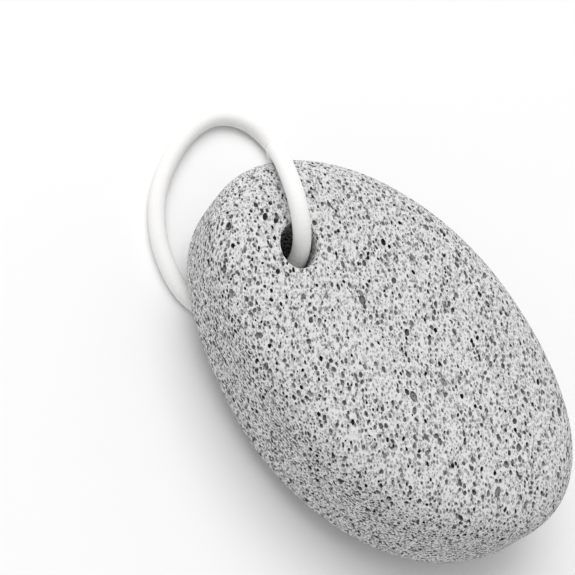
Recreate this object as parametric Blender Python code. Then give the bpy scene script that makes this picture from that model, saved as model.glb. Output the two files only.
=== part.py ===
"""Pumice stone for the bath: a rounded oval block with a bored hole and a cord loop.

The stone lies flat on its broad underside, at z = 0. Its long axis is X and the hole is near
the -X end. The cord leaves the hole's upper mouth, drapes over that end, lies on the surface in
a loose curve and comes back under the stone into the hole's lower mouth.
"""
import math
import random

import bmesh
import bpy
from mathutils import Matrix, Vector

MM = 0.001

# The stone's block
LENGTH = 100.0 * MM
WIDTH = 64.5 * MM
THICKNESS = 34.0 * MM
PLAN_POWER = 1.94            # 2 is an ellipse seen from above, more is squarer
SECTION_POWER = 4.8          # 2 is a round edge, more is a flatter face
PLAN_TAPER = 0.027           # how much wider the +X half is
SKEW = -0.0473               # small unevenness of the hand-rubbed outline
EGG = 0.0027
SQUARENESS = 0.0096
FACE_CUTS = 12               # cuts along each edge of the cube that the block starts from

# The underside: rubbed flat to rest on, and higher at the end with the hole
FLAT_DEPTH = 0.3 * MM
END_LIFT = 5.2 * MM
LIFT_START = -3.0 * MM
LIFT_RUN = 24.0 * MM

# The bored hole
HOLE_X = -29.3 * MM
HOLE_Y = -2.4 * MM
HOLE_RADIUS = 4.1 * MM
HOLE_STRETCH = 1.28          # worn longer by the cord, on a slant across the stone
HOLE_TURN = 49.0             # degrees from the -X axis
HOLE_SIDES = 20
UPPER_MOUTH = 33.6 * MM
UPPER_RUN = 1.2 * MM
UPPER_FLARE = 0.35 * MM
LOWER_MOUTH = 5.3 * MM
LOWER_RUN = 7.0 * MM
LOWER_FLARE = 4.2 * MM

# The pits
PIT_SEED = 7
PIT_COUNT = 188
PIT_TRIES = 9000
PIT_RADIUS = (0.5 * MM, 0.78 * MM)
PIT_GAP = 0.5 * MM
PIT_SHAPE = (0.8, 1.2)
PIT_SINK = (-0.25, 0.25)     # of the pit's radius
HOLE_CLEAR = 3.0 * MM
REST_CENTRE = (8.0 * MM, 0.0)
REST_CLEAR = 7.0 * MM

# The cord
CORD_DIAMETER = 4.0 * MM
CORD_STEP = 1.35             # diameters between the points of its tube
CORD_LIFT = 0.06 * MM        # kept between the cord and the surface
CORD_EVENING = 12
CORD_ROUTE_MM = [
    (-27.3, -3.1, 20.1), (-27.1, -2.8, 25.8), (-28.3, -1.7, 31.0), (-31.6, 0.1, 35.2),
    (-36.5, 3.4, 36.5), (-41.4, 7.2, 35.2), (-45.4, 10.8, 32.5), (-47.6, 13.9, 28.5),
    (-47.9, 16.5, 23.8), (-46.9, 18.8, 19.0), (-45.5, 21.0, 14.7), (-44.8, 23.6, 10.6),
    (-45.2, 26.5, 7.1), (-47.3, 29.2, 4.3), (-50.7, 31.3, 2.6), (-55.0, 32.1, 2.0),
    (-59.4, 31.4, 2.0), (-63.2, 29.1, 2.0), (-65.8, 25.5, 2.0), (-66.8, 21.1, 2.0),
    (-66.7, 16.4, 2.0), (-65.8, 11.8, 2.0), (-64.4, 7.2, 2.0), (-62.5, 2.9, 2.0),
    (-60.0, -1.1, 2.0), (-56.9, -4.6, 2.0), (-53.3, -7.8, 2.0), (-49.3, -10.3, 2.0),
    (-45.0, -12.2, 2.0), (-40.5, -13.2, 2.0), (-36.0, -12.7, 2.0), (-32.1, -10.8, 2.6),
    (-29.3, -8.2, 4.7), (-27.7, -5.8, 8.2), (-27.2, -4.1, 12.6), (-27.2, -3.2, 17.3),
    (-27.3, -3.0, 19.7),
]


def clear_scene():
    for item in list(bpy.data.objects):
        bpy.data.objects.remove(item, do_unlink=True)


def make_material(name, colour, roughness):
    material = bpy.data.materials.new(name)
    material.use_nodes = True
    shader = material.node_tree.nodes["Principled BSDF"]
    shader.inputs["Base Color"].default_value = (*colour, 1.0)
    shader.inputs["Roughness"].default_value = roughness
    shader.inputs["Metallic"].default_value = 0.0
    return material


def add_object(name, form, material):
    mesh = bpy.data.meshes.new(name)
    form.to_mesh(mesh)
    form.free()
    item = bpy.data.objects.new(name, mesh)
    bpy.context.scene.collection.objects.link(item)
    mesh.materials.append(material)
    mesh.shade_smooth()
    mesh.set_sharp_from_angle(angle=math.radians(40.0))
    return item


def make_cutter(name, form, material):
    item = add_object(name, form, material)
    item.hide_render = True
    item.display_type = "WIRE"
    return item


def ease(value):
    value = min(max(value, 0.0), 1.0)
    return value * value * (3.0 - 2.0 * value)


def block_point(direction):
    """The point of the block's surface, about its own centre, that lies along a direction."""
    x, y, z = direction
    plan = (abs(x) ** PLAN_POWER + abs(y) ** PLAN_POWER) ** (1.0 / PLAN_POWER)
    reach = (plan ** SECTION_POWER + abs(z) ** SECTION_POWER) ** (1.0 / SECTION_POWER)
    turn = math.atan2(y, x)
    uneven = 1.0 + SKEW * math.sin(2.0 * turn) + EGG * math.sin(3.0 * turn)
    uneven += SQUARENESS * math.sin(4.0 * turn)
    px = LENGTH / 2.0 * x / reach * uneven
    py = WIDTH / 2.0 * y / reach * uneven * (1.0 + PLAN_TAPER * x / reach)
    if z >= 0.0:
        return Vector((px, py, THICKNESS / 2.0 * z / reach))
    depth = THICKNESS / 2.0 + FLAT_DEPTH
    low = z / reach
    raised = END_LIFT * ease((LIFT_START - px) / LIFT_RUN) * abs(low) ** 3
    return Vector((px, py, depth * low + raised))


def block_normal(direction):
    """The outward normal there, from two short steps along the surface."""
    side = direction.orthogonal().normalized()
    other = direction.cross(side)
    step = 0.01
    here = block_point(direction)
    along = block_point((direction + side * step).normalized()) - here
    across = block_point((direction + other * step).normalized()) - here
    return along.cross(across).normalized()


def make_block():
    """A cube cut into squares, blown up to the block's form and rubbed flat underneath."""
    form = bmesh.new()
    bmesh.ops.create_cube(form, size=2.0)
    bmesh.ops.subdivide_edges(form, edges=form.edges[:], cuts=FACE_CUTS, use_grid_fill=True)
    for vert in form.verts:
        even = Vector([math.tan(value * math.pi / 4.0) for value in vert.co])
        vert.co = block_point(even.normalized())
    whole = form.verts[:] + form.edges[:] + form.faces[:]
    cut = bmesh.ops.bisect_plane(
        form, geom=whole, dist=1e-7, clear_inner=True,
        plane_co=(0.0, 0.0, -THICKNESS / 2.0), plane_no=(0.0, 0.0, 1.0))
    rim = [part for part in cut["geom_cut"] if isinstance(part, bmesh.types.BMEdge)]
    bmesh.ops.contextual_create(form, geom=rim)
    bmesh.ops.translate(form, verts=form.verts[:], vec=(0.0, 0.0, THICKNESS / 2.0))
    bmesh.ops.recalc_face_normals(form, faces=form.faces[:])
    return form


def plan_centre(form):
    xs = [vert.co.x for vert in form.verts]
    ys = [vert.co.y for vert in form.verts]
    return Vector(((min(xs) + max(xs)) / 2.0, (min(ys) + max(ys)) / 2.0, 0.0))


def hole_radius(height):
    above = max(0.0, height - UPPER_MOUTH + UPPER_RUN) / UPPER_RUN
    below = max(0.0, LOWER_MOUTH + LOWER_RUN - height) / LOWER_RUN
    return HOLE_RADIUS + UPPER_FLARE * above ** 2 + LOWER_FLARE * below ** 2


def make_bore():
    """The hole as a turned solid, straight inside and flared at both mouths."""
    heights = [LOWER_MOUTH + LOWER_RUN * part for part in (-0.5, -0.25, 0.0, 0.2, 0.45, 0.7, 1.0)]
    heights += [UPPER_MOUTH + UPPER_RUN * part for part in (-1.0, -0.45, 0.0, 0.5)]
    form = bmesh.new()
    ends = [form.verts.new((0.0, 0.0, heights[0]))]
    ends += [form.verts.new((hole_radius(height), 0.0, height)) for height in heights]
    ends.append(form.verts.new((0.0, 0.0, heights[-1])))
    edges = [form.edges.new(pair) for pair in zip(ends, ends[1:])]
    bmesh.ops.spin(
        form, geom=ends + edges, cent=(0.0, 0.0, 0.0), axis=(0.0, 0.0, 1.0),
        angle=2.0 * math.pi, steps=HOLE_SIDES, use_merge=True)
    bmesh.ops.remove_doubles(form, verts=form.verts[:], dist=1e-6)
    bmesh.ops.scale(
        form, verts=form.verts[:], vec=(HOLE_STRETCH, 1.0, 1.0),
        space=Matrix.Rotation(math.radians(HOLE_TURN), 4, "Z"))
    bmesh.ops.translate(form, verts=form.verts[:], vec=(HOLE_X, HOLE_Y, 0.0))
    bmesh.ops.recalc_face_normals(form, faces=form.faces[:])
    return form


def pit_places(shift):
    """Pits scattered over the block: a centre, a radius and a sink for each."""
    draw = random.Random(PIT_SEED)
    places = []
    for _ in range(PIT_TRIES):
        direction = Vector([draw.gauss(0.0, 1.0) for _ in range(3)]).normalized()
        radius = draw.uniform(*PIT_RADIUS)
        sink = draw.uniform(*PIT_SINK)
        centre = block_point(direction) + block_normal(direction) * radius * sink
        centre += Vector((0.0, 0.0, THICKNESS / 2.0)) - shift
        centre.z = max(centre.z, radius * sink)
        from_hole = math.hypot(centre.x - HOLE_X, centre.y - HOLE_Y)
        near_hole = from_hole < hole_radius(centre.z) + HOLE_CLEAR
        from_rest = math.hypot(centre.x - REST_CENTRE[0], centre.y - REST_CENTRE[1])
        on_rest = centre.z < THICKNESS / 4.0 and from_rest < REST_CLEAR
        if near_hole or on_rest:
            continue
        if all((centre - other).length > radius + size + PIT_GAP for other, size in places):
            places.append((centre, radius))
        if len(places) == PIT_COUNT:
            break
    return places


def make_pits(shift):
    """One small rough ball for each pit, turned and stretched its own way."""
    draw = random.Random(PIT_SEED + 1)
    form = bmesh.new()
    for centre, radius in pit_places(shift):
        turn = Matrix.Rotation(draw.uniform(0.0, math.tau), 4, Vector((
            draw.uniform(-1.0, 1.0), draw.uniform(-1.0, 1.0), draw.uniform(-1.0, 1.0))))
        stretch = Matrix.Diagonal([draw.uniform(*PIT_SHAPE) for _ in range(3)] + [1.0])
        bmesh.ops.create_icosphere(
            form, subdivisions=1, radius=radius,
            matrix=Matrix.Translation(centre) @ stretch @ turn)
    return form


def make_stone():
    pale = make_material("pumice", (0.62, 0.62, 0.61), 0.95)
    block = make_block()
    shift = plan_centre(block)
    bmesh.ops.translate(block, verts=block.verts[:], vec=-shift)
    stone = add_object("stone", block, pale)
    for name, form in (("bore_cutter", make_bore()), ("pit_cutter", make_pits(shift))):
        cut = stone.modifiers.new(name, "BOOLEAN")
        cut.object = make_cutter(name, form, pale)
        cut.operation = "DIFFERENCE"
        cut.solver = "EXACT"
    return stone


def spline_points(points, per_span=24):
    """A Catmull-Rom curve through the points, as a dense list."""
    ends = [points[0] * 2.0 - points[1]] + points + [points[-1] * 2.0 - points[-2]]
    dense = []
    for before, start, end, after in zip(ends, ends[1:], ends[2:], ends[3:]):
        for step in range(per_span):
            t = step / per_span
            dense.append(0.5 * (
                2.0 * start + (end - before) * t
                + (2.0 * before - 5.0 * start + 4.0 * end - after) * t ** 2
                + (3.0 * start - before - 3.0 * end + after) * t ** 3))
    return dense + [points[-1]]


def even_points(dense, spacing):
    """Points at even steps along a dense curve, with both of its ends."""
    lengths = [(after - before).length for before, after in zip(dense, dense[1:])]
    count = max(2, round(sum(lengths) / spacing))
    stride = sum(lengths) / count
    points = [dense[0]]
    walked = 0.0
    for before, length, after in zip(dense, lengths, dense[1:]):
        while len(points) < count and walked + length >= stride * len(points):
            points.append(before.lerp(after, (stride * len(points) - walked) / length))
        walked += length
    return points + [dense[-1]]


def route_curve():
    """The cord's middle line: a curve through its route, evened out as a springy cord would be."""
    points = even_points(spline_points([Vector(point) * MM for point in CORD_ROUTE_MM]), 0.5 * MM)
    for _ in range(CORD_EVENING):
        inner = [
            (before + here * 2.0 + after) / 4.0
            for before, here, after in zip(points, points[1:], points[2:])]
        points = [points[0]] + inner + [points[-1]]
    lowest = CORD_DIAMETER / 2.0 + CORD_LIFT
    return [Vector((point.x, point.y, max(point.z, lowest))) for point in points]


def make_cord():
    """The cord as a plain tube, whose two ends meet inside the hole."""
    points = even_points(route_curve(), CORD_STEP * CORD_DIAMETER)
    line = bpy.data.curves.new("cord_loop", "CURVE")
    line.dimensions = "3D"
    line.bevel_depth = CORD_DIAMETER / 2.0
    line.bevel_resolution = 2
    line.use_fill_caps = True
    spline = line.splines.new("POLY")
    spline.points.add(len(points) - 1)
    for target, point in zip(spline.points, points):
        target.co = (*point, 1.0)
    cord = bpy.data.objects.new("cord_loop", line)
    bpy.context.scene.collection.objects.link(cord)
    line.materials.append(make_material("white_cord", (0.88, 0.88, 0.87), 0.8))
    return cord


clear_scene()
make_stone()
make_cord()
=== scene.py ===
import math
import random

import bmesh
import bpy
import numpy as np
from mathutils import Matrix, Vector
from mathutils.bvhtree import BVHTree
from mathutils.kdtree import KDTree


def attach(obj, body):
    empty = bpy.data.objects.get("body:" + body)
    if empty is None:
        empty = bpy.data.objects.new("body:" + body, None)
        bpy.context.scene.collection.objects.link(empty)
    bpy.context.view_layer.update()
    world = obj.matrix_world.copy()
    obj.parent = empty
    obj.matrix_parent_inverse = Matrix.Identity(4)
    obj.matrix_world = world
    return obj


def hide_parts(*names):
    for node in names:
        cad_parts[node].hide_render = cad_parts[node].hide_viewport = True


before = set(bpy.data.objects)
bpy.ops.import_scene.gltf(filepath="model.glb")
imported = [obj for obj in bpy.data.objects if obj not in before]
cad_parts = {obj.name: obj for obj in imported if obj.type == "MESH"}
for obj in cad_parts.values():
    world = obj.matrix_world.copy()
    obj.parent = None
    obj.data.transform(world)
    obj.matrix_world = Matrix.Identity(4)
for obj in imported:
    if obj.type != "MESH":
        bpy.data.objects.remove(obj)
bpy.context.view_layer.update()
mm = 0.001


# helpers for meshes

def ease(value):
    value = min(max(value, 0.0), 1.0)
    return value * value * (3.0 - 2.0 * value)


def newObject(name, mesh):
    item = bpy.data.objects.new(name, mesh)
    bpy.context.scene.collection.objects.link(item)
    return item


def meshFrom(name, form):
    mesh = bpy.data.meshes.new(name)
    form.to_mesh(mesh)
    form.free()
    return mesh


def cornersOf(mesh):  # the mesh's triangles as corner indices, and where its vertices are
    mesh.calc_loop_triangles()
    corners = np.zeros(len(mesh.loop_triangles) * 3, np.int32)
    mesh.loop_triangles.foreach_get("vertices", corners)
    places = np.zeros(len(mesh.vertices) * 3)
    mesh.vertices.foreach_get("co", places)
    return corners.reshape(-1, 3), places.reshape(-1, 3)


def applyModifiers(item):
    view = bpy.context.evaluated_depsgraph_get()
    mesh = bpy.data.meshes.new_from_object(item.evaluated_get(view))
    item.modifiers.clear()
    item.data = mesh


def cutAway(item, cutters, solver):
    for cutter in cutters:
        cut = item.modifiers.new(cutter.name, "BOOLEAN")
        cut.object = cutter
        cut.operation = "DIFFERENCE"
        cut.solver = solver
        cutter.hide_render = True
    applyModifiers(item)
    for cutter in cutters:
        bpy.data.objects.remove(cutter)


# camera, floor and light

camera = {
    "aim": Vector((-25.07, -2.24, 17.0)) * mm,
    "distance": 400.0 * mm,
    "azimuth": 2.04,
    "elevation": 59.07,
    "roll": 42.3,
    "focalPixels": 1827.9,
    "framePixels": 575.0,
    "sensor": 36.0,
    "clip": (0.01, 20.0),
}


def makeCamera():
    turn = math.radians(camera["azimuth"])
    rise = math.radians(camera["elevation"])
    roll = math.radians(camera["roll"])
    back = Vector((
        math.sin(turn) * math.cos(rise), -math.cos(turn) * math.cos(rise), math.sin(rise)))
    level = Vector((math.cos(turn), math.sin(turn), 0.0))
    upright = back.cross(level)
    right = level * math.cos(roll) + upright * math.sin(roll)
    up = upright * math.cos(roll) - level * math.sin(roll)
    data = bpy.data.cameras.new("camera")
    data.sensor_width = camera["sensor"]
    data.lens = camera["sensor"] * camera["focalPixels"] / camera["framePixels"]
    data.clip_start, data.clip_end = camera["clip"]
    item = newObject("camera", data)
    place = camera["aim"] + back * camera["distance"]
    item.matrix_world = Matrix.Translation(place) @ Matrix((right, up, back)).transposed().to_4x4()
    bpy.context.scene.camera = item


light = {
    "floorSize": 6.0,
    "floorPaper": {
        "Base Color": (0.87, 0.87, 0.87, 1.0), "Roughness": 0.9, "Specular IOR Level": 0.2},
    "softboxSize": 1.6,
    "softboxPlace": Vector((-0.80, 0.36, 1.62)),
    "softboxPower": 25.2,
    "skyStrength": 0.60,
}


def makeStudio():
    form = bmesh.new()
    bmesh.ops.create_grid(form, x_segments=1, y_segments=1, size=light["floorSize"] / 2.0)
    floor = newObject("floor", meshFrom("floor", form))
    floor.data.materials.append(Finish("floor paper", light["floorPaper"]).material)

    lamp = bpy.data.lights.new("softbox", "AREA")
    lamp.shape = "SQUARE"
    lamp.size = light["softboxSize"]
    lamp.energy = light["softboxPower"]
    box = newObject("softbox", lamp)
    facing = (-light["softboxPlace"]).to_track_quat("-Z", "Y").to_matrix().to_4x4()
    box.matrix_world = Matrix.Translation(light["softboxPlace"]) @ facing

    world = bpy.data.worlds.new("studio")
    world.use_nodes = True
    sky = world.node_tree.nodes["Background"]
    sky.inputs["Color"].default_value = (1.0, 1.0, 1.0, 1.0)
    sky.inputs["Strength"].default_value = light["skyStrength"]
    bpy.context.scene.world = world
    bpy.context.scene.view_settings.view_transform = "Standard"


# shader maths

class Wire:
    def __init__(self, finish, socket):
        self.finish = finish
        self.socket = socket

    def maths(self, operation, first, second):
        return self.finish.node("ShaderNodeMath", {"operation": operation}, {0: first, 1: second})

    def __add__(self, other):
        return self.maths("ADD", self, other)

    def __sub__(self, other):
        return self.maths("SUBTRACT", self, other)

    def __mul__(self, other):
        return self.maths("MULTIPLY", self, other)

    def __radd__(self, other):
        return self.maths("ADD", other, self)

    def __rsub__(self, other):
        return self.maths("SUBTRACT", other, self)

    def __rmul__(self, other):
        return self.maths("MULTIPLY", other, self)

    def bigger(self, other):
        return self.maths("MAXIMUM", self, other)

    def smaller(self, other):
        return self.maths("MINIMUM", self, other)

    def fade(self, low, high):  # 0 at low, 1 at high, eased between them
        return self.finish.node(
            "ShaderNodeMapRange", {"interpolation_type": "SMOOTHSTEP"},
            {"Value": self, "From Min": low, "From Max": high})


class Finish:
    def __init__(self, name, evenValues):
        self.material = bpy.data.materials.new(name)
        self.material.use_nodes = True
        self.tree = self.material.node_tree
        self.shader = self.tree.nodes["Principled BSDF"]
        for socket, value in evenValues.items():  # the same all over the surface
            self.shader.inputs[socket].default_value = value

    def node(self, kind, settings, sockets, out=0):
        made = self.tree.nodes.new(kind)
        for name, value in settings.items():
            setattr(made, name, value)
        for name, value in sockets.items():
            self.feed(made.inputs[name], value)
        return Wire(self, made.outputs[out])

    def feed(self, socket, value):
        if isinstance(value, Wire):
            self.tree.links.new(value.socket, socket)
        else:
            socket.default_value = value

    def place(self):  # Object coordinates
        return self.node("ShaderNodeTexCoord", {}, {}, out=3)

    def attribute(self, name):  # painted on the mesh
        return self.node("ShaderNodeAttribute", {"attribute_name": name}, {}, out=2)

    def paint(self, red, green, blue):
        colour = self.node("ShaderNodeCombineColor", {}, {0: red, 1: green, 2: blue})
        self.feed(self.shader.inputs["Base Color"], colour)

    def bump(self, height, depth):
        bump = self.node("ShaderNodeBump", {}, {"Height": height, **depth})
        self.feed(self.shader.inputs["Normal"], bump)


# the stone's block and its bored hole

stoneBlock = {
    "length": 100.0 * mm,
    "width": 64.5 * mm,
    "thickness": 34.0 * mm,
    "planPower": 1.94,
    "sectionPower": 4.8,
    "planTaper": 0.027,
    "skew": -0.0473,
    "egg": 0.0027,
    "squareness": 0.0096,
    "flatDepth": 0.3 * mm,
    "endLift": 5.2 * mm,
    "liftStart": -3.0 * mm,
    "liftRun": 24.0 * mm,
    "cuts": 24,
}

bore = {
    "place": (-29.3 * mm, -2.4 * mm),
    "radius": 4.1 * mm,
    "sides": 72,
    "upperMouth": 33.6 * mm,
    "upperRun": 1.2 * mm,
    "upperFlare": 0.35 * mm,
    "lowerMouth": 5.3 * mm,
    "lowerRun": 7.0 * mm,
    "lowerFlare": 4.2 * mm,
    "stretch": 1.28,
    "stretchTurn": 49.0,
    "lowerSteps": 8,
    "wallSteps": 8,
    "wallStep": 2.2 * mm,
    "upperSteps": 5,
    "shade": 3.0 * mm,  # how far below the upper mouth the painted shade down the hole reaches full strength
    "shadeReach": 1.05,
}


def blockPoint(direction):
    x, y, z = direction
    power = stoneBlock["planPower"]
    plan = (abs(x) ** power + abs(y) ** power) ** (1.0 / power)
    power = stoneBlock["sectionPower"]
    reach = (plan ** power + abs(z) ** power) ** (1.0 / power)
    turn = math.atan2(y, x)
    uneven = 1.0 + stoneBlock["skew"] * math.sin(2.0 * turn)
    uneven += stoneBlock["egg"] * math.sin(3.0 * turn)
    uneven += stoneBlock["squareness"] * math.sin(4.0 * turn)
    taper = 1.0 + stoneBlock["planTaper"] * x / reach
    px = stoneBlock["length"] / 2.0 * x / reach * uneven
    py = stoneBlock["width"] / 2.0 * y / reach * uneven * taper
    half = stoneBlock["thickness"] / 2.0
    if z >= 0.0:
        return Vector((px, py, half * z / reach))
    low = z / reach
    along = ease((stoneBlock["liftStart"] - px) / stoneBlock["liftRun"])
    raised = stoneBlock["endLift"] * along * abs(low) ** 3
    return Vector((px, py, (half + stoneBlock["flatDepth"]) * low + raised))


def makeBlock():  # its mesh, its middle and the triangles that its pores are scattered over
    form = bmesh.new()
    bmesh.ops.create_cube(form, size=2.0)
    bmesh.ops.subdivide_edges(
        form, edges=form.edges[:], cuts=stoneBlock["cuts"], use_grid_fill=True)
    for vert in form.verts:
        even = Vector([math.tan(value * math.pi / 4.0) for value in vert.co])
        vert.co = blockPoint(even.normalized())
    whole = bpy.data.meshes.new("whole")
    form.to_mesh(whole)
    half = stoneBlock["thickness"] / 2.0
    cut = bmesh.ops.bisect_plane(
        form, geom=form.verts[:] + form.edges[:] + form.faces[:], dist=1e-7, clear_inner=True,
        plane_co=(0.0, 0.0, -half), plane_no=(0.0, 0.0, 1.0))
    rim = [part for part in cut["geom_cut"] if isinstance(part, bmesh.types.BMEdge)]
    bmesh.ops.contextual_create(form, geom=rim)
    xs = [vert.co.x for vert in form.verts]
    ys = [vert.co.y for vert in form.verts]
    middle = Vector(((min(xs) + max(xs)) / 2.0, (min(ys) + max(ys)) / 2.0, -half))
    bmesh.ops.translate(form, verts=form.verts[:], vec=-middle)
    bmesh.ops.recalc_face_normals(form, faces=form.faces[:])
    corners, places = cornersOf(whole)
    bpy.data.meshes.remove(whole)
    places = places - np.array(middle)
    places[:, 2] = places[:, 2].clip(0.0)
    return meshFrom("stone", form), middle, places[corners]


def orderedTriangles(mesh):  # in the same order each run, which the mesh's own faces are not
    triangles = []
    for face in mesh.polygons:
        spots = [
            tuple(round(value, 7) for value in mesh.vertices[index].co) for index in face.vertices]
        lowest = spots.index(min(spots))
        spots = spots[lowest:] + spots[:lowest]
        triangles += [(spots[0], *pair) for pair in zip(spots[1:], spots[2:])]
    return np.array(sorted(triangles))


def boreRadius(height):
    above = max(0.0, height - bore["upperMouth"] + bore["upperRun"]) / bore["upperRun"]
    below = max(0.0, bore["lowerMouth"] + bore["lowerRun"] - height) / bore["lowerRun"]
    return bore["radius"] + bore["upperFlare"] * above ** 2 + bore["lowerFlare"] * below ** 2


def makeBore():
    form = bmesh.new()
    lower, upper = bore["lowerSteps"], bore["upperSteps"]
    heights = [
        bore["lowerMouth"] + bore["lowerRun"] * step / lower
        for step in range(-lower // 2, lower + 1)]
    heights += [
        bore["lowerMouth"] + bore["lowerRun"] + step * bore["wallStep"]
        for step in range(1, bore["wallSteps"] + 1)]
    heights += [
        bore["upperMouth"] + bore["upperRun"] * step / upper
        for step in range(-upper, upper - 1)]
    heights = sorted(set(round(height, 6) for height in heights))
    ends = [form.verts.new((0.0, 0.0, heights[0]))]
    ends += [form.verts.new((boreRadius(height), 0.0, height)) for height in heights]
    ends.append(form.verts.new((0.0, 0.0, heights[-1])))
    edges = [form.edges.new(pair) for pair in zip(ends, ends[1:])]
    bmesh.ops.spin(
        form, geom=ends + edges, cent=(0.0, 0.0, 0.0), axis=(0.0, 0.0, 1.0),
        angle=2.0 * math.pi, steps=bore["sides"], use_merge=True)
    bmesh.ops.remove_doubles(form, verts=form.verts[:], dist=1e-6)
    bmesh.ops.scale(
        form, verts=form.verts[:], vec=(bore["stretch"], 1.0, 1.0),
        space=Matrix.Rotation(math.radians(bore["stretchTurn"]), 4, "Z"))
    bmesh.ops.translate(form, verts=form.verts[:], vec=(*bore["place"], 0.0))
    bmesh.ops.recalc_face_normals(form, faces=form.faces[:])
    return newObject("bore", meshFrom("bore", form))


# the pores: bubbles cut open by the surface

pores = {
    "seed": 11,
    "pitSeed": 7,
    "pitCount": 188,
    "pitTries": 9000,
    "pitRadius": (0.5 * mm, 0.78 * mm),
    "pitGap": 0.5 * mm,
    "pitSink": (-0.25, 0.25),
    "holeClear": 3.0 * mm,
    "restCentre": (8.0 * mm, 0.0),
    "restClear": 7.0 * mm,
    "nearMouth": [  # pores by the hole on the upper face, listed one by one: x, y, radius, 1 if painted fully dark as shade
        (-25.4, -1.3, 0.75, 0), (-25.3, -3.2, 0.60, 0), (-26.1, 0.6, 0.55, 1),
        (-26.2, 4.1, 0.50, 0), (-36.5, -1.8, 0.55, 1), (-38.6, -2.9, 0.60, 1),
        (-38.0, -5.7, 0.42, 1), (-37.2, -7.2, 0.42, 1), (-35.1, -6.3, 0.42, 0),
        (-36.7, -11.9, 0.62, 0), (-42.1, -8.7, 0.50, 1), (-28.5, -10.8, 0.50, 1),
        (-26.7, -10.0, 0.45, 0), (-43.1, -0.4, 0.42, 1), (-41.5, 0.2, 0.42, 0),
        (-40.0, 0.6, 0.50, 1), (-33.2, -3.6, 0.50, 0), (-30.3, -7.2, 0.42, 0)],
    "kinds": [  # which ball cuts them, how many, radius, how close to the next, share of deep ones, cut deeper and painted fully dark as shade
        {"ball": "full", "count": 300, "radius": (0.45 * mm, 0.62 * mm),
         "spacing": 1.05, "deep": 0.15},
        {"ball": "middle", "count": 4000, "radius": (0.31 * mm, 0.52 * mm),
         "spacing": 1.02, "deep": 0.18},
        {"ball": "small", "count": 2600, "radius": (0.22 * mm, 0.34 * mm),
         "spacing": 1.00, "deep": 1.0},
    ],
    "rings": {  # of each ball: round it, from pole to pole, and how far out to make up for so few
        "round": (10, 7, 1.03), "full": (8, 5, 1.05), "middle": (6, 4, 1.1), "small": (4, 2, 1.15)},
    "tries": 12,
    "smallMost": 1.4,
    "triangles": 188000,
    "sharpAngle": 35.0,
    "grainWay": Vector((-0.75, 0.66, 0.0)),  # the way the bubbles were drawn out
    "drawnOut": (1.05, 1.8),
    "stretch": (0.75, 1.05),
    "sink": (-0.35, 0.30),
    "deepSink": (0.35, 0.75),
    "groupGap": 1.5,
    "wayJitter": 0.25,
    "offSurface": 0.05 * mm,
    "skin": 0.02 * mm,  # less deep than this is no pore
    # the most painted shade strength a shallower pore gets; each gets a random share of it
    "shallowPoreShade": 0.75,
    "scatterCell": 2.0 * mm,
    "groupCell": 3.2 * mm,
}


def ballShape(kind):
    form = bmesh.new()
    around, rings, radius = pores["rings"][kind]
    bmesh.ops.create_uvsphere(form, u_segments=around, v_segments=rings, radius=radius)
    return cornersOf(meshFrom("ball", form))


def blockNormal(direction):
    side = direction.orthogonal().normalized()
    other = direction.cross(side)
    nudge = 0.01
    here = blockPoint(direction)
    along = blockPoint((direction + side * nudge).normalized()) - here
    across = blockPoint((direction + other * nudge).normalized()) - here
    return along.cross(across).normalized()


def pitPlaces(middle):  # the largest pores, where the part has its pits
    draw = random.Random(pores["pitSeed"])
    half = stoneBlock["thickness"] / 2.0
    places = []
    for _ in range(pores["pitTries"]):
        direction = Vector([draw.gauss(0.0, 1.0) for _ in range(3)]).normalized()
        radius = draw.uniform(*pores["pitRadius"])
        sink = draw.uniform(*pores["pitSink"])
        centre = blockPoint(direction) + blockNormal(direction) * radius * sink
        centre -= middle
        centre.z = max(centre.z, radius * sink)
        fromHole = math.hypot(centre.x - bore["place"][0], centre.y - bore["place"][1])
        fromRest = math.hypot(centre.x - pores["restCentre"][0], centre.y - pores["restCentre"][1])
        if fromHole < boreRadius(centre.z) + pores["holeClear"]:
            continue
        if centre.z < half / 2.0 and fromRest < pores["restClear"]:
            continue
        if all((centre - other).length > radius + size + pores["pitGap"] for other, size in places):
            places.append((centre, radius))
        if len(places) == pores["pitCount"]:
            break
    return places


def cellOf(spot, cell):
    return tuple(np.floor(spot / cell).astype(int))


def closeBy(grid, key):
    for dx in (-1, 0, 1):
        for dy in (-1, 0, 1):
            for dz in (-1, 0, 1):
                yield from grid.get((key[0] + dx, key[1] + dy, key[2] + dz), ())


def touches(pore, grid, where, cell, closeness):
    for other in closeBy(grid, cellOf(pore[where], cell)):
        reach = (pore["radius"] + other["radius"]) * closeness
        gap = pore[where] - other[where]
        if gap @ gap < reach * reach:
            return True
    return False


def turnMatrix(quaternion):
    w, x, y, z = quaternion / np.linalg.norm(quaternion)
    return np.array([
        [1 - 2 * (y * y + z * z), 2 * (x * y - z * w), 2 * (x * z + y * w)],
        [2 * (x * y + z * w), 1 - 2 * (x * x + z * z), 2 * (y * z - x * w)],
        [2 * (x * z - y * w), 2 * (y * z + x * w), 1 - 2 * (x * x + y * y)]])


def poreShape(draw):  # drawn out one way, and turned at random before that
    way = np.array(pores["grainWay"]) + draw.normal(size=3) * pores["wayJitter"]
    way /= np.linalg.norm(way)
    side = np.cross(way, draw.normal(size=3))
    side /= np.linalg.norm(side)
    axes = np.stack([way, side, np.cross(way, side)], axis=1)
    sizes = [draw.uniform(*pores[reach]) for reach in ("drawnOut", "stretch", "stretch")]
    return axes @ np.diag(sizes) @ turnMatrix(draw.normal(size=4))


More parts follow.
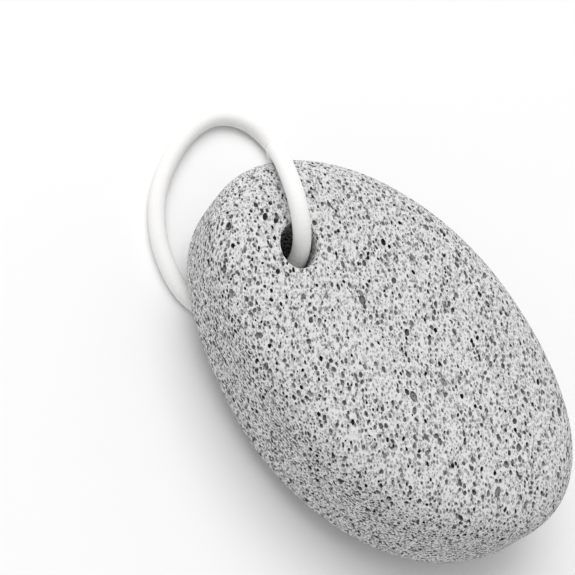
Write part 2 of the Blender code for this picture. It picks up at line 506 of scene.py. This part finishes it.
def scatterPores(triangles, middle, surface):  # over the uncut shapes, whose faces keep their order
    draw = np.random.default_rng(pores["seed"])
    first, second, third = (triangles[:, k] for k in range(3))
    area = np.linalg.norm(np.cross(second - first, third - first), axis=1)
    share = np.cumsum(area) / area.sum()
    cell = pores["scatterCell"]
    grid = {}
    found = []
    large = [(centre, radius, False) for centre, radius in pitPlaces(middle)]
    for x, y, radius, dark in pores["nearMouth"]:
        top = surface.find_nearest(Vector((x * mm, y * mm, stoneBlock["thickness"])))[0].z
        large.append((Vector((x * mm, y * mm, top)), radius * mm, dark == 1))
    for centre, radius, dark in large:
        spot = np.array(centre)
        pore = {
            "spot": spot, "centre": spot, "radius": radius, "ball": "round",
            "deep": dark, "tone": draw.random(), "shape": poreShape(draw)}
        grid.setdefault(cellOf(spot, cell), []).append(pore)
        found.append(pore)
    for kind in pores["kinds"]:
        made = 0
        for _ in range(kind["count"] * pores["tries"]):
            face = int(np.searchsorted(share, draw.random()))
            u, v = draw.random(2)
            if u + v > 1.0:
                u, v = 1.0 - u, 1.0 - v
            spot = first[face] + u * (second[face] - first[face]) + v * (third[face] - first[face])
            low, high = kind["radius"]
            radius = low + (high - low) * draw.random() ** pores["smallMost"]
            _, outward, _, off = surface.find_nearest(Vector(spot))
            pore = {"spot": spot, "radius": radius, "ball": kind["ball"]}
            if off > pores["offSurface"] or touches(pore, grid, "spot", cell, kind["spacing"]):
                continue
            pore["deep"] = draw.random() < kind["deep"]
            sink = draw.uniform(*(pores["deepSink"] if pore["deep"] else pores["sink"]))
            pore["centre"] = spot - np.array(outward) * radius * sink
            pore["tone"] = draw.random()
            pore["shape"] = poreShape(draw)
            grid.setdefault(cellOf(spot, cell), []).append(pore)
            found.append(pore)
            made += 1
            if made == kind["count"]:
                break
        print("pores", kind["ball"], made)
    return found


def splitGroups(found):  # bubbles of one group never touch each other
    cell = pores["groupCell"]
    groups = []
    for pore in found:
        for group in groups:
            if not touches(pore, group["grid"], "centre", cell, pores["groupGap"]):
                break
        else:
            group = {"grid": {}, "pores": []}
            groups.append(group)
        group["grid"].setdefault(cellOf(pore["centre"], cell), []).append(pore)
        group["pores"].append(pore)
    return [group["pores"] for group in groups]


def bubbleMesh(name, group):
    balls = {kind: ballShape(kind) for kind in pores["rings"]}
    allPlaces, allCorners, start = [], [], 0
    for pore in group:
        corners, places = balls[pore["ball"]]
        allPlaces.append(places @ pore["shape"].T * pore["radius"] + pore["centre"])
        allCorners.append(corners + start)
        start += len(places)
    mesh = bpy.data.meshes.new(name)
    mesh.from_pydata(np.concatenate(allPlaces).tolist(), [], np.concatenate(allCorners).tolist())
    return newObject(name, mesh)


def sortParts(parts, placeOf):  # the cuts leave them in another order each run
    parts.index_update()
    rank = [0] * len(parts)
    for place, part in enumerate(sorted(parts, key=lambda part: tuple(placeOf(part)))):
        rank[part.index] = place
    parts.sort(key=lambda part: rank[part.index])


def dropCrumbs(mesh):  # only the stone itself stays, no crumb cut free between pores
    form = bmesh.new()
    form.from_mesh(mesh)
    form.verts.ensure_lookup_table()
    seen = set()
    parts = []
    for seed in form.verts:
        if seed.index in seen:
            continue
        part, todo = [], [seed]
        seen.add(seed.index)
        while todo:
            vert = todo.pop()
            part.append(vert)
            for edge in vert.link_edges:
                other = edge.other_vert(vert)
                if other.index not in seen:
                    seen.add(other.index)
                    todo.append(other)
        parts.append(part)
    parts.sort(key=len)
    loose = [vert for part in parts[:-1] for vert in part]
    bmesh.ops.delete(form, geom=loose, context="VERTS")
    print("crumbs dropped", len(parts) - 1)
    bmesh.ops.triangulate(form, faces=form.faces[:])
    sortParts(form.verts, lambda vert: vert.co)
    sortParts(form.edges, lambda edge: edge.verts[0].co + edge.verts[1].co)
    sortParts(form.faces, lambda face: face.calc_center_median())
    form.to_mesh(mesh)
    form.free()


def lighten(item):  # takes the slivers out between the pores
    count = sum(len(face.vertices) - 2 for face in item.data.polygons)
    thin = item.modifiers.new("thin", "DECIMATE")
    thin.ratio = min(1.0, pores["triangles"] / count)
    applyModifiers(item)
    print("triangles before thinning", count)


# paints how deep each place lies in a pore, how strong that pore's painted shade is, the painted
# shade down the hole, and how upright each place is
def paintPores(mesh, surface, found):
    centres = KDTree(len(found))
    for index, pore in enumerate(found):
        centres.insert(pore["centre"], index)
    centres.balance()
    depth, tone, bored, upright = np.zeros((4, len(mesh.vertices)), np.float32)
    for index, vert in enumerate(mesh.vertices):
        # painted shade down the hole, growing darker below the upper mouth
        fromAxis = math.hypot(vert.co.x - bore["place"][0], vert.co.y - bore["place"][1])
        if fromAxis < bore["radius"] * bore["stretch"] * bore["shadeReach"]:
            bored[index] = ease((bore["upperMouth"] - vert.co.z) / bore["shade"])
        _, outward, _, below = surface.find_nearest(vert.co)
        upright[index] = 1.0 - abs(outward.z)
        if below < pores["skin"]:
            continue
        depth[index] = below / mm
        options = centres.find_n(vert.co, 5)
        closest = min(options, key=lambda hit: abs(hit[2] - found[hit[1]]["radius"]))
        pore = found[closest[1]]
        tone[index] = 1.0 if pore["deep"] else pores["shallowPoreShade"] * pore["tone"]
    painted = {"poreDepth": depth, "poreShadeStrength": tone, "bored": bored, "upright": upright}
    for name, values in painted.items():
        mesh.attributes.new(name, "FLOAT", "POINT").data.foreach_set("value", values)


def makeStone():
    block, middle, blockTriangles = makeBlock()
    stone = newObject("pumice_stone", block)
    hole = makeBore()
    triangles = np.concatenate([blockTriangles, orderedTriangles(hole.data)])
    cutAway(stone, [hole], "EXACT")
    smooth = stone.data
    surface = BVHTree.FromPolygons(
        [vert.co for vert in smooth.vertices], [face.vertices for face in smooth.polygons])
    print("smooth stone", len(smooth.polygons))
    found = scatterPores(triangles, middle, surface)
    groups = splitGroups(found)
    print("groups", [len(group) for group in groups])
    bubbles = [bubbleMesh("bubbles%d" % k, group) for k, group in enumerate(groups)]
    cutAway(stone, bubbles, "MANIFOLD")
    dropCrumbs(stone.data)
    lighten(stone)
    mesh = stone.data
    paintPores(mesh, surface, found)
    mesh.shade_smooth()
    mesh.set_sharp_from_angle(angle=math.radians(pores["sharpAngle"]))
    print("stone triangles", len(mesh.polygons))
    mesh.materials.clear()
    mesh.materials.append(pumiceFinish())
    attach(stone, "root")
    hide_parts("stone")


# the stone's finish

pumice = {
    "wall": 0.675,
    "dark": 0.03,
    "grainTurn": 138.7,
    "grainStretch": 1.8,
    "grainDepth": 0.6,
    # how dark the painted shade down the hole gets
    "boreShade": 0.25,
    "sideCoarse": 0.75,  # the sides have stronger painted shade in their small pores, a stronger grain, and painted light that makes their walls lighter
    "sideGrain": 1.0,
    "paintedSideLight": 0.05,
    "fineScale": 1.0 / (0.68 * mm),
    "fineReach": (0.20, 0.50),
    "fineShade": (0.16, 0.74),  # painted shade in the fine pores: at least, and how much more by chance
    # the most painted shade in a fine pore
    "darkest": 0.92,
    "tinyScale": 1.0 / (0.42 * mm),
    "tinyReach": (0.18, 0.50),
    "tinyShade": (0.18, 0.50),
    "grainScale": 1.0 / (0.34 * mm),
    "blotchScale": 1.0 / (14.0 * mm),
    "blotch": (0.96, 0.08),
    # painted shade in the mesh's pores: the depth where it is full, then at least and how much more
    # by each pore's strength
    "poreRim": 0.30,
    "paintedPoreShade": (0.50, 0.46),
    "relief": {"grain": 0.14, "fine": 0.22, "tiny": 0.14},
    "bump": {"Strength": 0.8, "Distance": 1.0 * mm},
    "shader": {"Roughness": 0.95, "Specular IOR Level": 0.15},
}


def pumiceFinish():
    finish = Finish("pumice", pumice["shader"])
    spot = finish.node("ShaderNodeMapping", {"vector_type": "TEXTURE"}, {
        "Vector": finish.place(), "Rotation": (0.0, 0.0, math.radians(pumice["grainTurn"])),
        "Scale": (pumice["grainStretch"], 1.0, 1.0)})
    depth = finish.attribute("poreDepth")
    tone = finish.attribute("poreShadeStrength")

    def holes(scale, low, high):  # small open pores: 1 in a pore, 0 between, and a random pick for how strong each one's painted shade is
        cells = {"Vector": spot, "Scale": scale}
        near = finish.node("ShaderNodeTexVoronoi", {"feature": "F1"}, cells)
        pick = finish.node("ShaderNodeTexVoronoi", {"feature": "F1"}, cells, out=1)
        chance = finish.node("ShaderNodeSeparateColor", {}, {"Color": pick})
        return 1.0 - near.fade(low, high), chance

    fine, fineChance = holes(pumice["fineScale"], *pumice["fineReach"])
    tiny, tinyChance = holes(pumice["tinyScale"], *pumice["tinyReach"])
    grain = finish.node("ShaderNodeTexNoise", {}, {
        "Vector": spot, "Scale": pumice["grainScale"], "Detail": 2.0, "Roughness": 0.6})
    blotch = finish.node(
        "ShaderNodeTexNoise", {}, {"Vector": spot, "Scale": pumice["blotchScale"], "Detail": 2.0})

    inside = depth.fade(0.0, pumice["poreRim"])
    upright = finish.attribute("upright")
    rough = 1.0 + pumice["sideCoarse"] * upright
    grainDepth = pumice["grainDepth"] + pumice["sideGrain"] * upright
    blotches = pumice["blotch"][0] + pumice["blotch"][1] * blotch
    walls = pumice["wall"] * (1.0 + grainDepth * (grain - 0.5)) * blotches
    # painted shade in the small pores that the mesh leaves out, stronger on the sides
    least, more = pumice["fineShade"]
    fineShade = fine * rough * (least + more * fineChance * fineChance)
    least, more = pumice["tinyShade"]
    tinyShade = tiny * rough * (least + more * tinyChance)
    # painted shade down the hole
    shade = 1.0 - pumice["boreShade"] * finish.attribute("bored")
    # painted light: upright walls a little lighter
    shade = shade * (1.0 + pumice["paintedSideLight"] * upright)
    # the walls with the painted shade of the small pores, the painted shade down the hole and the
    # painted light on the sides
    wallsAndPaintedShade = walls * (1.0 - fineShade.smaller(pumice["darkest"])) * (1.0 - tinyShade) * shade
    # painted shade in the mesh's pores, darker deeper in and by each pore's strength
    least, more = pumice["paintedPoreShade"]
    poreShadeFactor = 1.0 - inside * (least + more * tone)
    grey = (wallsAndPaintedShade * poreShadeFactor).bigger(pumice["dark"])
    finish.paint(grey, grey, grey)

    relief = pumice["relief"]
    height = relief["grain"] * grain - relief["fine"] * fine - relief["tiny"] * tiny
    finish.bump(height, pumice["bump"])
    return finish.material


# the cord

cord = {
    "diameter": 4.0 * mm,
    "lift": 0.06 * mm,
    "exit": (-28.3 * mm, -1.7 * mm, 31.0 * mm),
    "evening": 12,
    "eveningStep": 0.5 * mm,
    "around": 48,
    "along": 0.22 * mm,
    "pathEvery": 4,
    "braid": 0.02 * mm,
    "strands": 8.0,
    "strandTurn": 2.6,  # per mm
    "grey": (0.82, 0.06),  # at least, and how much more where the fuzz is light
    "tint": (0.995, 0.985),
    "fuzzScale": 1.0 / (0.25 * mm),
    "bump": {"Strength": 0.5, "Distance": 0.15 * mm},
    "shader": {
        "Roughness": 0.85, "Specular IOR Level": 0.25, "Subsurface Weight": 0.5,
        "Subsurface Radius": (1.0, 0.95, 0.9), "Subsurface Scale": 1.2 * mm},
    "route": [
        (-27.3, -3.1, 20.1), (-27.1, -2.8, 25.8), (-28.3, -1.7, 31.0), (-31.6, 0.1, 35.2),
        (-36.5, 3.4, 36.5), (-41.4, 7.2, 35.2), (-45.4, 10.8, 32.5), (-47.6, 13.9, 28.5),
        (-47.9, 16.5, 23.8), (-46.9, 18.8, 19.0), (-45.5, 21.0, 14.7), (-44.8, 23.6, 10.6),
        (-45.2, 26.5, 7.1), (-47.3, 29.2, 4.3), (-50.7, 31.3, 2.6), (-55.0, 32.1, 2.0),
        (-59.4, 31.4, 2.0), (-63.2, 29.1, 2.0), (-65.8, 25.5, 2.0), (-66.8, 21.1, 2.0),
        (-66.7, 16.4, 2.0), (-65.8, 11.8, 2.0), (-64.4, 7.2, 2.0), (-62.5, 2.9, 2.0),
        (-60.0, -1.1, 2.0), (-56.9, -4.6, 2.0), (-53.3, -7.8, 2.0), (-49.3, -10.3, 2.0),
        (-45.0, -12.2, 2.0), (-40.5, -13.2, 2.0), (-36.0, -12.7, 2.0), (-32.1, -10.8, 2.6),
        (-29.3, -8.2, 4.7), (-27.7, -5.8, 8.2), (-27.2, -4.1, 12.6), (-27.2, -3.2, 17.3),
        (-27.3, -3.0, 19.7)],
}


def splinePoints(points, perSpan=24):
    ends = [points[0] * 2.0 - points[1]] + points + [points[-1] * 2.0 - points[-2]]
    dense = []
    for before, start, end, after in zip(ends, ends[1:], ends[2:], ends[3:]):
        for step in range(perSpan):
            t = step / perSpan
            dense.append(0.5 * (
                2.0 * start + (end - before) * t
                + (2.0 * before - 5.0 * start + 4.0 * end - after) * t ** 2
                + (3.0 * start - before - 3.0 * end + after) * t ** 3))
    return dense + [points[-1]]


def evenPoints(dense, spacing):
    lengths = [(after - before).length for before, after in zip(dense, dense[1:])]
    count = max(2, round(sum(lengths) / spacing))
    stride = sum(lengths) / count
    points = [dense[0]]
    walked = 0.0
    for before, length, after in zip(dense, lengths, dense[1:]):
        while len(points) < count and walked + length >= stride * len(points):
            points.append(before.lerp(after, (stride * len(points) - walked) / length))
        walked += length
    return points + [dense[-1]]


def cordLine():
    points = [Vector(point) * mm for point in cord["route"]]
    points = evenPoints(splinePoints(points), cord["eveningStep"])
    for _ in range(cord["evening"]):
        inner = [
            (before + here * 2.0 + after) / 4.0
            for before, here, after in zip(points, points[1:], points[2:])]
        points = [points[0]] + inner + [points[-1]]
    lowest = cord["diameter"] / 2.0 + cord["lift"]
    return [Vector((point.x, point.y, max(point.z, lowest))) for point in points]


def makeCord():
    line = evenPoints(cordLine(), cord["along"])
    form = bmesh.new()
    bmesh.ops.create_grid(form, x_segments=len(line) - 1, y_segments=cord["around"], size=1.0)
    axes = []  # a frame along the line that never twists
    side = Vector((0.0, 1.0, 0.0))
    for index in range(len(line)):
        ahead = line[min(index + 1, len(line) - 1)] - line[max(index - 1, 0)]
        ahead.normalize()
        side = (side - ahead * side.dot(ahead)).normalized()
        axes.append((side.copy(), ahead.cross(side)))
    length = sum((after - before).length for before, after in zip(line, line[1:]))
    uvs = form.loops.layers.uv.new("UVMap")
    steps = len(line) - 1
    for face in form.faces:
        for loop in face.loops:
            loop[uvs].uv = (
                (loop.vert.co.x + 1.0) / 2.0 * length / mm, (loop.vert.co.y + 1.0) / 2.0)
    for vert in form.verts:
        index = round((vert.co.x + 1.0) / 2.0 * steps)
        turn = (vert.co.y + 1.0) / 2.0
        first, second = axes[index]
        run = length * index / steps / mm
        angle = turn * math.tau
        across, twist = cord["strands"] * angle, run * cord["strandTurn"]
        braid = math.sin(across + twist) * math.sin(across - twist)
        radius = cord["diameter"] / 2.0 + cord["braid"] * (braid - 1.0)
        vert.co = line[index] + (first * math.cos(angle) + second * math.sin(angle)) * radius
    bmesh.ops.remove_doubles(form, verts=form.verts[:], dist=1e-6)
    bmesh.ops.holes_fill(form, edges=[edge for edge in form.edges if edge.is_boundary], sides=0)
    bmesh.ops.recalc_face_normals(form, faces=form.faces[:])
    item = newObject("cord", meshFrom("cord", form))
    item.data.shade_smooth()
    item.data.materials.append(cordFinish())
    print("cord faces", len(item.data.polygons), "length", length)
    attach(item, "root")
    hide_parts("cord_loop")
    [tuple(point) for point in line[::cord["pathEvery"]]] + [tuple(line[-1])]


def cordFinish():
    finish = Finish("white cord", cord["shader"])
    fuzz = finish.node("ShaderNodeTexNoise", {}, {
        "Vector": finish.place(), "Scale": cord["fuzzScale"], "Detail": 4.0})
    least, more = cord["grey"]
    grey = least + more * fuzz
    green, blue = cord["tint"]
    finish.paint(grey, grey * green, grey * blue)
    finish.bump(fuzz, cord["bump"])
    return finish.material


makeCamera()
makeStudio()
print("camera, floor and light made")
makeCord()
print("cord made")
makeStone()
print("stone made")
